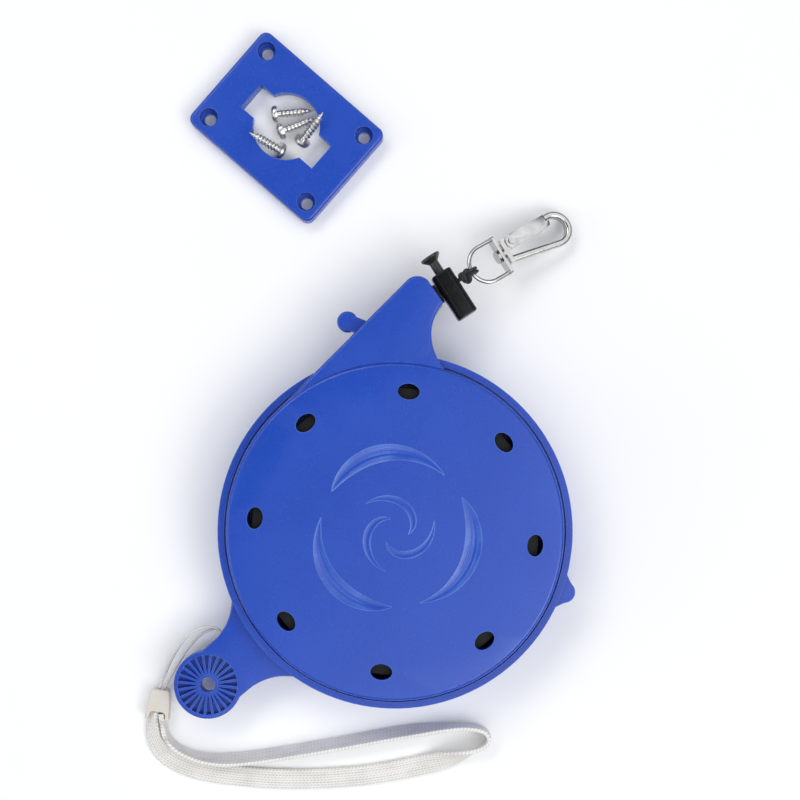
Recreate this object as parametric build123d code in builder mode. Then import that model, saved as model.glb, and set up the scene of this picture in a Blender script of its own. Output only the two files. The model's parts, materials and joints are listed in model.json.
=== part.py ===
from build123d import *
import os
from math import acos, asin, atan2, cos, degrees, dist, hypot, pi, radians, sin, sqrt, tan

os.makedirs("parts", exist_ok=True)

# The origin is on the case's axis, at the back face. +Z points out of the cover, +Y up past the neck.

# ---------------------------------------------------------------- driving dimensions (mm)
# Case
disc_r = 58.0              # round cover
cover_gap = 0.9            # groove between the cover's skirt and the cup's rim
groove_depth = 1.8         # below it the cup fits the cover closely
rim_w = 2.3
wall = 2.0
face_t = 2.2               # front wall of the cover
disc_step = 1.2            # the round face stands this far above the neck's face
rim_drop = 4.6             # from the round face down to the cup's rim
disc_fillet = 1.6
neck_fillet = 1.0
running = 0.06             # radial clearance of a shaft in its bore
parting = 0.1              # small axial gap between pieces that only meet
loose = 0.3                # clearance where one piece passes another

# Wall plate and the key on the case's back that turns into it
plate_long = 57.0
plate_wide = 42.6
plate_t = 6.0
plate_corner = 3.0
plate_fillet = 1.2
plate_room = 0.8           # the plate's recess is deeper than the plate by this
plate_swing = 1.9          # room round the plate's corners in the recess
plate_holes_long = 45.7
plate_holes_wide = 31.2
plate_hole_r = 2.1
plate_head_r = 3.3
plate_head_depth = 4.2
window_r = 11.9
key_slot_long = 33.2
key_slot_wide = 10.7
key_fit = 0.4
key_t = 2.0
plate_at = (-38.6, 142.6)
plate_turn = -41.0

# Spool, spring and line
arbor_r = 5.0
slit_depth = 2.0           # the spring's inner end sits in a slit in the arbor
drum_r = 30.0
drum_wall = 1.6
spool_rim_in = 8.5         # the spool's flanges stay this far inside the cover's edge
flange_t = 1.2
winding_w = 10.0
spool_gap = 0.5
cap_sink = 1.2
spool_edge = 0.4
spring_t = 0.3
spring_turns = 11
spring_room = 1.1
line_d = 1.6
line_length = 8000.0
winding_fill = 0.75        # share of the winding's volume that is line
washer_r = 7.0
washer_t = 0.5

# Neck, given from the mouth, where the line leaves
mouth_out = 25.0           # mouth beyond the cover's edge
mouth_angle = 80.0
line_angle = 33.0          # the way the line leaves, seen from the front
neck_edge_angle = 135.0
neck_root_angle = 73.1
tip_left = (-10.0, 4.7)
tip_top = (-5.6, 5.7)
mouth_high = (-3.1, 4.3)
mouth_low = (2.1, -3.2)
neck_waist = (-1.8, -16.2)
lead_short = 0.5           # gap between the line's modelled stretches
guide_r = 2.6
guide_bore_r = 1.2
guide_len = 3.6
guide_flange_r = 3.6
guide_flange_t = 1.0
guide_stand = 0.2          # the flange's stand-off from the mouth
guide_edge = 0.3

# Vents
vent_at_r = 48.1
vent_count = 8
vent_start = 84.4
vent_radial = 5.5
vent_tangential = 7.5

# Lug with its rosette, and the small ear
lug_angle = 219.6
lug_out = 23.9             # lug centre beyond the cup's rim
lug_r = 11.9
lug_low = 2.0
lug_high = 13.0
lug_t = 5.5                # the lug's disc is thinner than its arm
lug_bore_r = 2.65
lug_hub_r = 3.7
rosette_r = 10.45
rosette_depth = 2.4
rib_count = 24
rib_w = 0.9
rib_h = 2.0
arm_half = 10.4
arm_flare = 20.5
arm_bite = 3.6             # the arm's outline starts and bends this far inside and outside the cup's rim
arm_bend_half = 13.2
arm_straight = 12.5
ear_angle = -19.9
ear_tip_r = 3.75
ear_flank = ((-1.5, 8.2), (0.6, 5.2), (2.6, 3.4))
ear_tip_out = 1.0
ear_low = 4.0
ear_drop = 1.5             # ear face below the cup's rim

# Eye in the arm's upper flank for the wrist strap's thin cord
eye_out = 8.6              # beyond the cup's rim
eye_z = 7.0
eye_r = 1.5
eye_depth = 5.0

# Screws
cross_w = 0.9
cross_len = 3.2
case_screw_r = 1.25
case_head_r = 2.3
case_head_h = 1.6
case_screw_len = 9.0
boss_r = 2.6
boss_floor = 1.0           # material left under and over the pins and screws in the neck
neck_boss_r = 3.7
rim_screw_in = 5.0         # rim screws' circle inside the cover's edge
rim_screw_angles = (16.9, -73.1, -163.1)
neck_screws = ((-11.9, -2.5), (-5.3, -19.4))
arbor_screw_r = 1.5
arbor_head_r = 3.0
arbor_head_h = 1.1
wall_screw_len = 15.0
wall_head_r = 3.0
wall_head_h = 2.2
wall_shank_r = 1.7
wall_point = 4.0
# pan head's half section, as shares of its height and radius
wall_head_arc = ((0.0, 0.6), (0.2, 0.9), (0.6, 1.0))


def lean(height, reach):
    """Tilt of a screw whose shank rests on the window's upper edge, this far from its head."""
    return degrees(asin((plate_t + wall_shank_r - height) / reach))


# (x, y) of the head from the plate's centre, heading and upward tilt of the shank, height of the head
wall_screws_lie = (
    ((-5.59, 4.73), 6.5, -3.7, 3.43),
    ((-3.35, -1.68), 21.6, -4.0, 3.22),
    ((4.65, -5.63), 47.8, lean(2.92, 9.45), 2.92),
    ((-1.31, -8.58), 154.9, lean(2.85, 8.79), 2.85),
)

# Brake lever
pin_from_mouth = (-21.5, -13.0)
pin_r = 1.2
lever_angle = 159.0
lever_throw = 30.0
lever_reach = 10.1
lever_head_r = 3.6
lever_stem_w = 5.2
lever_hub_r = 2.4
lever_t = 5.0
lever_edge = 0.9
cam_nose_r = 1.4

# Cord lock on the line, against the neck's mouth
lock_len = 17.6
lock_w = 7.6
lock_h = 9.0
lock_corner = 2.4
lock_gap = 0.25            # between the guide's flange and the barrel
lock_off = 3.1             # barrel's middle from the line, away from the plunger's head
lock_bore_r = 1.3
lock_cavity_r = 2.6
lock_end_wall = 3.0
lock_edge = 0.6
plunger_fit = 0.06
plunger_len = 9.2
plunger_travel = 3.0
plunger_stem_r = 1.7
plunger_head_r = 3.6
plunger_out = 6.9
plunger_in = 0.4           # the plunger's body starts this far inside the barrel's mouth
plunger_head_t = 0.8
plunger_flare = 1.8
lock_spring_wire = 0.4
lock_spring_turns = 4
lock_spring_gap = 0.05
knot_gap = 0.7

# End ring and snap hook
knot_r = 2.4
ring_sink = 0.6            # the ring's wire sits this far into the knot
droop = 17.0               # the hook hangs from the line and rests towards the table
end_angle = 31.0
ring_wire_r = 0.75
ring_half = 6.6
ring_bar_at = 12.4
ring_bar_t = 1.0
ring_bar_h = 4.2
ring_bar_corner = 0.8
loop_fit = 0.25
stem_r = 1.2
stem_head_r = 2.3
stem_head_t = 0.9
collar_r = 1.9
hook_base_at = 14.0
hook_base_t = 1.6
hook_base_low = -4.4
hook_base_high = 4.0
hook_w = 2.4
hook_t = 3.2
hook_corner = 0.9
hook_base_over = 0.3       # the base plate stands past the hook's faces
hook_base_corner = 0.6
hook_bend_r = 5.3
hook_bend_at = (35.4, -1.3)
hook_lean = 10.4
nose_len = 1.6
pivot_at = (18.4, 2.7)
pivot_lug_r = 2.2
pivot_lug_t = 2.4
rivet_r = 0.8
gate_flank_r = 2.45
gate_outer = 5.2
gate_sheet = 0.45
gate_side_gap = 0.15
gate_lip = ((1.2, 0.0), (0.7, -1.6))   # the lip over the nose, from the gate's end
gate_belly = (-2.4, 0.2)
gate_open_low = -2.0
gate_web = 0.6             # the web starts this far past the pivot's flank
rivet_head = 1.6           # rivet head against its shank
rivet_head_t = 0.4

# Wrist strap
strand_r = 0.5
clip_at = (-84.15, -62.75)
clip_axis = -98.1
clip_w = 8.4
clip_len = 10.6
clip_t = 5.0
clip_corner = 1.4
clip_edge = 0.8
band_w = 7.0               # the flat braid
band_t = 1.5
band_fill = 0.67           # share of the braid's outline that is thread
strand_a_route = (
    (-59.9, -38.1, 7.6), (-62.7, -34.7, 7.7), (-67.6, -34.4, 8.2), (-71.9, -36.3, 8.0),
    (-75.1, -39.6, 7.2), (-77.8, -43.6, 6.0), (-80.6, -48.6, 4.4), (-84.2, -57.2, 2.5),
)
strand_b_route = (
    (-59.9, -38.1, 6.4), (-62.9, -35.1, 6.3), (-66.4, -35.9, 6.2), (-69.9, -38.2, 5.8),
    (-73.2, -42.0, 5.0), (-76.2, -46.4, 4.1), (-79.2, -51.4, 3.1), (-82.6, -57.4, 2.5),
)
band_route = (
    (-86.7, -68.1, 1.6), (-86.2, -75.0, 1.6), (-82.4, -81.3, 1.6), (-73.8, -85.9, 1.6),
    (-61.1, -88.5, 1.6), (-37.7, -90.3, 1.6), (-11.7, -89.0, 1.6), (8.0, -85.4, 1.6),
    (21.5, -81.8, 1.6), (29.6, -79.0, 1.6), (33.8, -76.0, 1.6), (32.6, -72.2, 1.6),
    (27.4, -70.7, 1.6), (17.6, -70.8, 1.6), (1.3, -72.9, 1.6), (-16.1, -76.2, 1.6),
    (-33.4, -79.2, 1.6), (-50.7, -82.0, 1.6), (-65.4, -82.9, 1.6), (-76.4, -79.6, 1.6),
    (-81.6, -74.6, 1.6), (-83.0, -68.8, 1.6),
)

# ---------------------------------------------------------------- worked out from the sizes above
line_r = line_d / 2
cup_r = disc_r + cover_gap
ring_r = cup_r + rim_w
fit_r = disc_r + loose
recess_depth = plate_t + plate_room
floor_top = recess_depth + wall
flange_low = floor_top + spool_gap
winding_low = flange_low + flange_t
winding_top = winding_low + winding_w
flange_top = winding_top + flange_t
cover_inside = flange_top + spool_gap + 2 * parting
disc_face = cover_inside + face_t
neck_face = disc_face - disc_step
line_z = (winding_low + winding_top) / 2
neck_back = 2 * line_z - neck_face
rim_top = disc_face - rim_drop
skirt_low = floor_top + spool_gap
spool_r = disc_r - spool_rim_in
chamber_r = drum_r - drum_wall
recess_r = hypot(plate_long, plate_wide) / 2 + plate_swing
winding_r = sqrt(drum_r**2 + line_length * line_r**2 / (winding_fill * winding_w))
band_tube_r = sqrt(band_fill * band_w * band_t / pi)


def polar(radius, angle):
    return (radius * cos(radians(angle)), radius * sin(radians(angle)))


mouth = polar(disc_r + mouth_out, mouth_angle)
line_dir = polar(1, line_angle)


def from_mouth(offset):
    return (mouth[0] + offset[0], mouth[1] + offset[1])


def along_line(distance, height=line_z):
    return (mouth[0] + distance * line_dir[0], mouth[1] + distance * line_dir[1], height)


def finish(builder, name):
    builder.part.label = name
    export_step(builder.part, f"parts/{name}.step")


# ---------------------------------------------------------------- outlines that several pieces share
def neck_outline():
    """Plan of the neck, closed well inside the round body."""
    edge_start = polar(disc_r, neck_edge_angle)
    root = polar(disc_r + 0.5, neck_root_angle)
    inner_share = 0.7
    with BuildSketch() as plan:
        with BuildLine():
            Line(edge_start, from_mouth(tip_left))
            ThreePointArc(from_mouth(tip_left), from_mouth(tip_top), from_mouth(mouth_high))
            Line(from_mouth(mouth_high), from_mouth(mouth_low))
            ThreePointArc(from_mouth(mouth_low), from_mouth(neck_waist), root)
            Polyline(
                root,
                (root[0] * inner_share, root[1] * inner_share),
                (edge_start[0] * inner_share, edge_start[1] * inner_share),
                edge_start,
            )
        make_face()
    return plan.sketch


def neck_inside():
    with BuildSketch() as plan:
        add(neck_plan)
        offset(amount=-wall, kind=Kind.INTERSECTION)
    return plan.sketch


def neck_clear():
    with BuildSketch() as plan:
        add(neck_plan)
        offset(amount=loose, kind=Kind.INTERSECTION)
    return plan.sketch


neck_plan = neck_outline()
neck_room = neck_inside()
neck_margin = neck_clear()

mouth_plane = Plane(origin=along_line(0), x_dir=(-line_dir[1], line_dir[0], 0), z_dir=(*line_dir, 0))
pin_at = from_mouth(pin_from_mouth)
rim_screws = [polar(disc_r - rim_screw_in, angle) for angle in rim_screw_angles]
neck_screws_at = [from_mouth(place) for place in neck_screws]

# The lever's slot follows its stem from one end of the throw to the other, along the neck's straight edge
edge_normal = neck_edge_angle
pin_to_edge = (
    (from_mouth(tip_left)[0] - pin_at[0]) * cos(radians(edge_normal))
    + (from_mouth(tip_left)[1] - pin_at[1]) * sin(radians(edge_normal))
)
lean_rest = lever_angle - edge_normal
lean_thrown = lean_rest - lever_throw
slot_low = pin_to_edge * tan(radians(lean_thrown)) - lever_stem_w / 2 / cos(radians(lean_thrown)) - loose
slot_high = pin_to_edge * tan(radians(lean_rest)) + lever_stem_w / 2 / cos(radians(lean_rest)) + loose
slot_plane = Plane(
    origin=(pin_at[0], pin_at[1], line_z),
    x_dir=(*polar(1, edge_normal + 90), 0),
    z_dir=(*polar(1, edge_normal), 0),
)


with BuildSketch(slot_plane) as lever_slot:
    with Locations(((slot_low + slot_high) / 2, 0)):
        Rectangle(slot_high - slot_low, lever_t + 2 * loose)

with BuildSketch(mouth_plane) as guide_hole:
    Circle(guide_r + running)


# ---------------------------------------------------------------- front shell
with BuildPart() as front_shell:
    with BuildSketch(Plane.XY.offset(line_z)):
        add(neck_plan)
    extrude(amount=neck_face - line_z)
    neck_top_edges = edges().filter_by(lambda edge: abs(edge.center().Z - neck_face) < 0.01)
    fillet(neck_top_edges, neck_fillet)
    with BuildSketch(Plane.XY.offset(skirt_low)):
        Circle(disc_r)
    extrude(amount=disc_face - skirt_low)
    fillet(edges().filter_by(GeomType.CIRCLE).sort_by(Axis.Z)[-1], disc_fillet)
    with BuildSketch(Plane.XY.offset(skirt_low)):
        Circle(disc_r - wall)
    extrude(amount=cover_inside - skirt_low, mode=Mode.SUBTRACT)
    with BuildSketch(Plane.XY.offset(skirt_low)):
        add(neck_room)
    extrude(amount=neck_face - wall - skirt_low, mode=Mode.SUBTRACT)
    with BuildSketch(Plane.XY.offset(floor_top + parting)):
        with Locations(*rim_screws):
            Circle(boss_r)
    extrude(until=Until.NEXT)
    with BuildSketch(Plane.XY.offset(line_z)):
        with Locations(*neck_screws_at):
            Circle(boss_r)
        with Locations(pin_at):
            Circle(boss_r)
    extrude(until=Until.NEXT)
    extrude(lever_slot.sketch, amount=pin_to_edge + wall, mode=Mode.SUBTRACT)
    extrude(guide_hole.sketch, amount=guide_len, both=True, mode=Mode.SUBTRACT)
    with BuildSketch(Plane.XY.offset(line_z - lever_t / 2 - loose)):
        with Locations(pin_at):
            Circle(boss_r + loose)
    extrude(amount=lever_t + 2 * loose, mode=Mode.SUBTRACT)
    with BuildSketch(Plane.XY.offset(recess_depth)):
        with Locations(*rim_screws):
            Circle(case_screw_r + running)
    extrude(amount=case_screw_len + 2 * parting, mode=Mode.SUBTRACT)
    with BuildSketch(Plane.XY.offset(line_z)):
        with Locations(*neck_screws_at):
            Circle(case_screw_r + running)
        with Locations(pin_at):
            Circle(pin_r + running)
    extrude(amount=neck_face - wall - line_z - boss_floor, mode=Mode.SUBTRACT)
    with BuildSketch(Plane.XY.offset(cover_inside)):
        with PolarLocations(vent_at_r, vent_count, start_angle=vent_start):
            Ellipse(vent_radial / 2, vent_tangential / 2)
    extrude(amount=face_t, mode=Mode.SUBTRACT)
finish(front_shell, "front_shell")


# ---------------------------------------------------------------- rear shell
def radial_plane(angle, height):
    """XY plane at a height, turned so that its X runs outwards at the angle."""
    return Plane(origin=(0, 0, height), x_dir=(*polar(1, angle), 0), z_dir=(0, 0, 1))


def key_profile(fit):
    with BuildSketch() as plan:
        Rectangle(key_slot_long - 2 * fit, key_slot_wide - 2 * fit)
    return plan.sketch


with BuildPart() as rear_shell:
    with BuildSketch():
        Circle(ring_r)
    extrude(amount=rim_top)
    with BuildSketch(radial_plane(lug_angle, lug_low)):
        with BuildLine():
            Line((ring_r - arm_bite, -arm_flare), (ring_r - arm_bite, arm_flare))
            for side in (-1, 1):
                ThreePointArc(
                    (ring_r - arm_bite, side * arm_flare),
                    (ring_r + arm_bite, side * arm_bend_half),
                    (ring_r + arm_straight, side * arm_half),
                )
                Line((ring_r + arm_straight, side * arm_half), (ring_r + lug_out, side * arm_half))
            Line((ring_r + lug_out, -arm_half), (ring_r + lug_out, arm_half))
        make_face()
        with Locations((ring_r + lug_out, 0)):
            Circle(lug_r)
    extrude(amount=lug_high - lug_low)
    fillet(edges().filter_by(lambda edge: abs(edge.center().Z - lug_high) < 0.01), neck_fillet / 2)
    with BuildSketch(radial_plane(ear_angle, ear_low)):
        with BuildLine():
            for side in (-1, 1):
                ThreePointArc(*[(ring_r + out, side * half) for out, half in ear_flank])
            for out, half in (ear_flank[0], ear_flank[-1]):
                Line((ring_r + out, -half), (ring_r + out, half))
        make_face()
        with Locations((ring_r + ear_tip_out, 0)):
            Circle(ear_tip_r)
    extrude(amount=rim_top - ear_drop - ear_low)
    with BuildSketch(Plane.XY.offset(neck_back)):
        add(neck_plan)
    extrude(amount=line_z - neck_back)
    # inside of the cup, and the neck's channel
    with BuildSketch(Plane.XY.offset(floor_top)):
        Circle(fit_r)
    extrude(amount=rim_top, mode=Mode.SUBTRACT)
    with BuildSketch(Plane.XY.offset(rim_top - groove_depth)):
        Circle(cup_r)
    extrude(amount=groove_depth, mode=Mode.SUBTRACT)
    with BuildSketch(Plane.XY.offset(neck_back + wall)):
        add(neck_room)
    extrude(amount=line_z, mode=Mode.SUBTRACT)
    with BuildSketch(Plane.XY.offset(line_z)):
        add(neck_margin)
    extrude(amount=rim_top, mode=Mode.SUBTRACT)
    # back: a moat behind the spool, and the round recess for the wall plate with the key in its middle
    with BuildSketch():
        Circle(cup_r)
        Circle(recess_r + wall, mode=Mode.SUBTRACT)
    extrude(amount=recess_depth, mode=Mode.SUBTRACT)
    with BuildSketch():
        Circle(recess_r)
        Circle(window_r - key_fit, mode=Mode.SUBTRACT)
    extrude(amount=recess_depth, mode=Mode.SUBTRACT)
    with BuildSketch():
        add(key_profile(key_fit))
    extrude(amount=key_t)
    # bosses and screw holes
    with BuildSketch(Plane.XY.offset(neck_back)):
        with Locations(*neck_screws_at):
            Circle(neck_boss_r)
        with Locations(pin_at):
            Circle(boss_r)
    extrude(amount=line_z - neck_back)
    with BuildSketch(Plane.XY.offset(neck_back)):
        with Locations(*neck_screws_at):
            Circle(case_head_r + loose)
    extrude(amount=case_head_h + loose, mode=Mode.SUBTRACT)
    with BuildSketch():
        with Locations(*rim_screws, *neck_screws_at):
            Circle(case_screw_r + running)
    extrude(amount=rim_top, mode=Mode.SUBTRACT)
    with BuildSketch(Plane.XY.offset(line_z - lever_t / 2 - loose)):
        with Locations(pin_at):
            Circle(boss_r + loose)
    extrude(amount=lever_t, mode=Mode.SUBTRACT)
    with BuildSketch(Plane.XY.offset(neck_back + boss_floor)):
        with Locations(pin_at):
            Circle(pin_r + running)
    extrude(amount=line_z, mode=Mode.SUBTRACT)
    with BuildSketch(Plane.XY.offset(key_t)):
        Circle(arbor_screw_r + running)
    extrude(amount=floor_top, mode=Mode.SUBTRACT)
    extrude(lever_slot.sketch, amount=pin_to_edge + wall, mode=Mode.SUBTRACT)
    extrude(guide_hole.sketch, amount=guide_len, both=True, mode=Mode.SUBTRACT)
    # rosette of ribs round the lug's bore
    with BuildSketch(radial_plane(lug_angle, lug_high - rosette_depth)):
        with Locations((ring_r + lug_out, 0)):
            Circle(rosette_r)
            Circle(lug_hub_r, mode=Mode.SUBTRACT)
    extrude(amount=rosette_depth, mode=Mode.SUBTRACT)
    with BuildSketch(radial_plane(lug_angle, lug_high - rosette_depth)):
        with Locations((ring_r + lug_out, 0)):
            with PolarLocations((rosette_r + lug_hub_r) / 2, rib_count):
                Rectangle(rosette_r - lug_hub_r + 2 * loose, rib_w)
    extrude(amount=rib_h)
    with BuildSketch(radial_plane(lug_angle, lug_low)):
        with Locations((ring_r + lug_out, 0)):
            Circle(lug_bore_r)
    extrude(amount=lug_high, mode=Mode.SUBTRACT)
    with BuildSketch(radial_plane(lug_angle, lug_low)):
        with Locations((ring_r + lug_out, 0)):
            Circle(lug_r)
    extrude(amount=lug_high - lug_t - lug_low, mode=Mode.SUBTRACT)
    # eye for the strap's thin cord: in from the arm's flank, and out at its back
    eye_plane = Plane(
        origin=(*polar(ring_r + eye_out, lug_angle), eye_z),
        x_dir=(0, 0, 1),
        z_dir=(*polar(1, lug_angle - 90), 0),
    )
    with BuildSketch(eye_plane.offset(arm_half - eye_depth)):
        Circle(eye_r)
    extrude(amount=eye_depth + wall, mode=Mode.SUBTRACT)
    with BuildSketch(radial_plane(lug_angle, 0)):
        with Locations((ring_r + eye_out, eye_depth - arm_half)):
            Circle(eye_r)
    extrude(amount=eye_z, mode=Mode.SUBTRACT)
finish(rear_shell, "rear_shell")

# ---------------------------------------------------------------- arbor, its screw and washer
arbor_top = winding_top + parting

with BuildPart() as arbor:
    with BuildSketch(Plane.XY.offset(floor_top)):
        Circle(arbor_r)
        Circle(arbor_screw_r + running, mode=Mode.SUBTRACT)
    extrude(amount=arbor_top - floor_top)
    with BuildSketch(Plane.XY.offset(winding_low + loose)):
        with Locations((arbor_r, 0)):
            Rectangle(2 * slit_depth, 2 * spring_t)
    extrude(amount=winding_w - cap_sink - 2 * loose, mode=Mode.SUBTRACT)
finish(arbor, "arbor")

with BuildPart() as arbor_washer:
    with BuildSketch(Plane.XY.offset(arbor_top)):
        Circle(washer_r)
        Circle(arbor_screw_r + running, mode=Mode.SUBTRACT)
    extrude(amount=washer_t)
finish(arbor_washer, "arbor_washer")

with BuildPart() as arbor_screw:
    with BuildSketch(Plane.XY.offset(arbor_top + washer_t)):
        Circle(arbor_head_r)
    extrude(amount=arbor_head_h)
    with BuildSketch(Plane.XY.offset(arbor_top + washer_t + arbor_head_h)):
        Rectangle(cross_w, cross_len)
        Rectangle(cross_len, cross_w)
    extrude(amount=-arbor_head_h * 0.6, mode=Mode.SUBTRACT)
    with BuildSketch(Plane.XY.offset(key_t + 0.5)):
        Circle(arbor_screw_r)
    extrude(amount=arbor_top + washer_t - key_t - 0.5)
finish(arbor_screw, "arbor_screw")

# ---------------------------------------------------------------- spool, its cap, the mainspring, wound line
cap_low = winding_top - cap_sink

with BuildPart() as spool:
    with BuildSketch(Plane.XY.offset(flange_low)):
        Circle(spool_r)
    extrude(amount=flange_t)
    with BuildSketch(Plane.XY.offset(winding_low)):
        Circle(drum_r)
    extrude(amount=winding_w)
    with BuildSketch(Plane.XY.offset(winding_top)):
        Circle(spool_r)
    extrude(amount=flange_t)
    with BuildSketch(Plane.XY.offset(winding_low)):
        Circle(chamber_r)
    extrude(amount=flange_top, mode=Mode.SUBTRACT)
    with BuildSketch(Plane.XY.offset(flange_low)):
        Circle(arbor_r + running)
    extrude(amount=flange_t, mode=Mode.SUBTRACT)
    spool_rims = edges().filter_by(GeomType.CIRCLE).filter_by(lambda edge: edge.radius > spool_r - 0.01)
    fillet(spool_rims, spool_edge)
finish(spool, "spool")

with BuildPart() as spool_cap:
    with BuildSketch(Plane.XY.offset(cap_low)):
        Circle(chamber_r - running)
        Circle(arbor_r + running, mode=Mode.SUBTRACT)
    extrude(amount=cap_sink)
finish(spool_cap, "spool_cap")


def spiral(start_r, end_r, turns):
    """Half circles of growing radius, each tangent to the next."""
    step = (end_r - start_r) / (2 * turns)
    centre = 0.0
    side = 1
    radius = start_r
    for _ in range(2 * turns):
        CenterArc((centre, 0), radius, 0 if side > 0 else 180, 180)
        centre += side * -1 * step
        radius += step
        side = -side


spring_low = winding_low + loose
spring_h = winding_w - cap_sink - 2 * loose
with BuildPart() as mainspring:
    with BuildLine(Plane.XY.offset(spring_low + spring_h / 2)) as spring_line:
        spiral(arbor_r + spring_room, chamber_r - spring_room, spring_turns)
    spring_start = spring_line.line @ 0
    with BuildSketch(Plane(origin=spring_start, x_dir=(1, 0, 0), z_dir=spring_line.line % 0)):
        Rectangle(spring_t, spring_h)
    sweep(path=spring_line.line)
finish(mainspring, "mainspring")

with BuildPart() as wound_line:
    with BuildSketch(Plane.XY.offset(winding_low + parting / 2)):
        Circle(winding_r)
        Circle(drum_r + parting / 2, mode=Mode.SUBTRACT)
    extrude(amount=winding_w - parting)
finish(wound_line, "wound_line")

# ---------------------------------------------------------------- line from the winding to the mouth
lead_end = along_line(-guide_len - lead_short)
lead_turn_r = winding_r + line_r + parting
lead_angle = degrees(atan2(lead_end[1], lead_end[0]) + acos(lead_turn_r / hypot(lead_end[0], lead_end[1])))
lead_start = (*polar(lead_turn_r, lead_angle), line_z)
lead_run = dist(lead_start, lead_end)

with BuildPart() as line_lead:
    with BuildSketch(
        Plane(origin=lead_start, z_dir=[(b - a) / lead_run for a, b in zip(lead_start, lead_end)])
    ):
        Circle(line_r)
    extrude(amount=lead_run - lead_short)
finish(line_lead, "line_lead")

with BuildPart() as line_guide:
    with BuildSketch(mouth_plane.offset(-guide_len)):
        Circle(guide_r)
    extrude(amount=guide_len + guide_stand)
    with BuildSketch(mouth_plane.offset(guide_stand)):
        Circle(guide_flange_r)
    extrude(amount=guide_flange_t)
    fillet(edges().filter_by(GeomType.CIRCLE).group_by(SortBy.RADIUS)[-1], guide_edge)
    with BuildSketch(mouth_plane.offset(-guide_len)):
        Circle(guide_bore_r)
    extrude(amount=guide_len + guide_stand + guide_flange_t, mode=Mode.SUBTRACT)
finish(line_guide, "line_guide")

# ---------------------------------------------------------------- brake lever and its pin
# The cam's nose swings from beside the line to just clear of it, square to its run.
lead_heading = degrees(atan2(lead_end[1] - lead_start[1], lead_end[0] - lead_start[0]))
pin_to_line = (
    (lead_end[0] - pin_at[0]) * sin(radians(lead_heading))
    - (lead_end[1] - pin_at[1]) * cos(radians(lead_heading))
)
cam_arm = pin_to_line - line_r - cam_nose_r - parting
cam_angle = lead_heading - 90 + lever_throw

with BuildPart() as brake_lever:
    with BuildSketch(Plane.XY.offset(line_z - lever_t / 2)):
        with Locations(pin_at):
            Circle(lever_hub_r)
            with Locations(polar(cam_arm, cam_angle)):
                Circle(cam_nose_r)
        make_hull()
    extrude(amount=lever_t)
    with BuildSketch(
        Plane(origin=(*pin_at, line_z - lever_t / 2), x_dir=(*polar(1, lever_angle), 0), z_dir=(0, 0, 1))
    ):
        with Locations((lever_reach / 2, 0)):
            Rectangle(lever_reach, lever_stem_w)
        with Locations((lever_reach, 0)):
            Circle(lever_head_r)
    extrude(amount=lever_t)
    head_edges = edges().filter_by(GeomType.CIRCLE).filter_by(lambda edge: edge.radius > lever_head_r - 0.01)
    fillet(head_edges, lever_edge)
    with BuildSketch(Plane.XY.offset(line_z)):
        with Locations(pin_at):
            Circle(pin_r + running)
    extrude(amount=lever_t, both=True, mode=Mode.SUBTRACT)
finish(brake_lever, "brake_lever")

with BuildPart() as brake_pin:
    with BuildSketch(Plane.XY.offset(neck_back + boss_floor + parting)):
        with Locations(pin_at):
            Circle(pin_r)
    extrude(amount=neck_face - wall - neck_back - 2 * (boss_floor + parting))
finish(brake_pin, "brake_pin")


# ---------------------------------------------------------------- case screws
# Pan heads, driven from the back: under the cup's floor at the rim, and in their bosses' pockets in the neck.
with BuildPart() as case_screws:
    for places, seat in ((rim_screws, recess_depth), (neck_screws_at, neck_back + case_head_h + loose)):
        with BuildSketch(Plane.XY.offset(seat - case_head_h)):
            with Locations(*places):
                Circle(case_head_r)
        extrude(amount=case_head_h)
        with BuildSketch(Plane.XY.offset(seat - case_head_h)):
            with Locations(*places):
                Rectangle(cross_w, cross_len)
                Rectangle(cross_len, cross_w)
        extrude(amount=case_head_h / 2, mode=Mode.SUBTRACT)
        with BuildSketch(Plane.XY.offset(seat)):
            with Locations(*places):
                Circle(case_screw_r)
        extrude(amount=case_screw_len)
finish(case_screws, "case_screws")

# ---------------------------------------------------------------- cord lock
lock_near = guide_stand + guide_flange_t + lock_gap
lock_mid = lock_near + lock_w / 2
lock_far = lock_near + lock_w
lock_axis = polar(1, line_angle - 90)
lock_start = -(lock_len / 2 - lock_off)


def lock_plane(distance):
    """Plane across the barrel, this far from the line towards its closed end."""
    centre = along_line(lock_mid)
    return Plane(
        origin=(centre[0] + distance * lock_axis[0], centre[1] + distance * lock_axis[1], line_z),
        x_dir=(*line_dir, 0),
        z_dir=(*lock_axis, 0),
    )


line_plane = Plane(origin=along_line(lock_mid), x_dir=(*lock_axis, 0), z_dir=(*line_dir, 0))
cavity_len = lock_len - lock_end_wall

with BuildPart() as cord_lock_barrel:
    with BuildSketch(lock_plane(lock_start)):
        RectangleRounded(lock_w, lock_h, lock_corner)
    extrude(amount=lock_len)
    fillet(faces().filter_by(Plane(origin=(0, 0, 0), z_dir=(*lock_axis, 0))).edges(), lock_edge)
    with BuildSketch(lock_plane(lock_start)):
        Circle(lock_cavity_r)
    extrude(amount=cavity_len, mode=Mode.SUBTRACT)
    with BuildSketch(line_plane):
        Circle(lock_bore_r)
    extrude(amount=lock_w, both=True, mode=Mode.SUBTRACT)
finish(cord_lock_barrel, "cord_lock_barrel")

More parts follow.
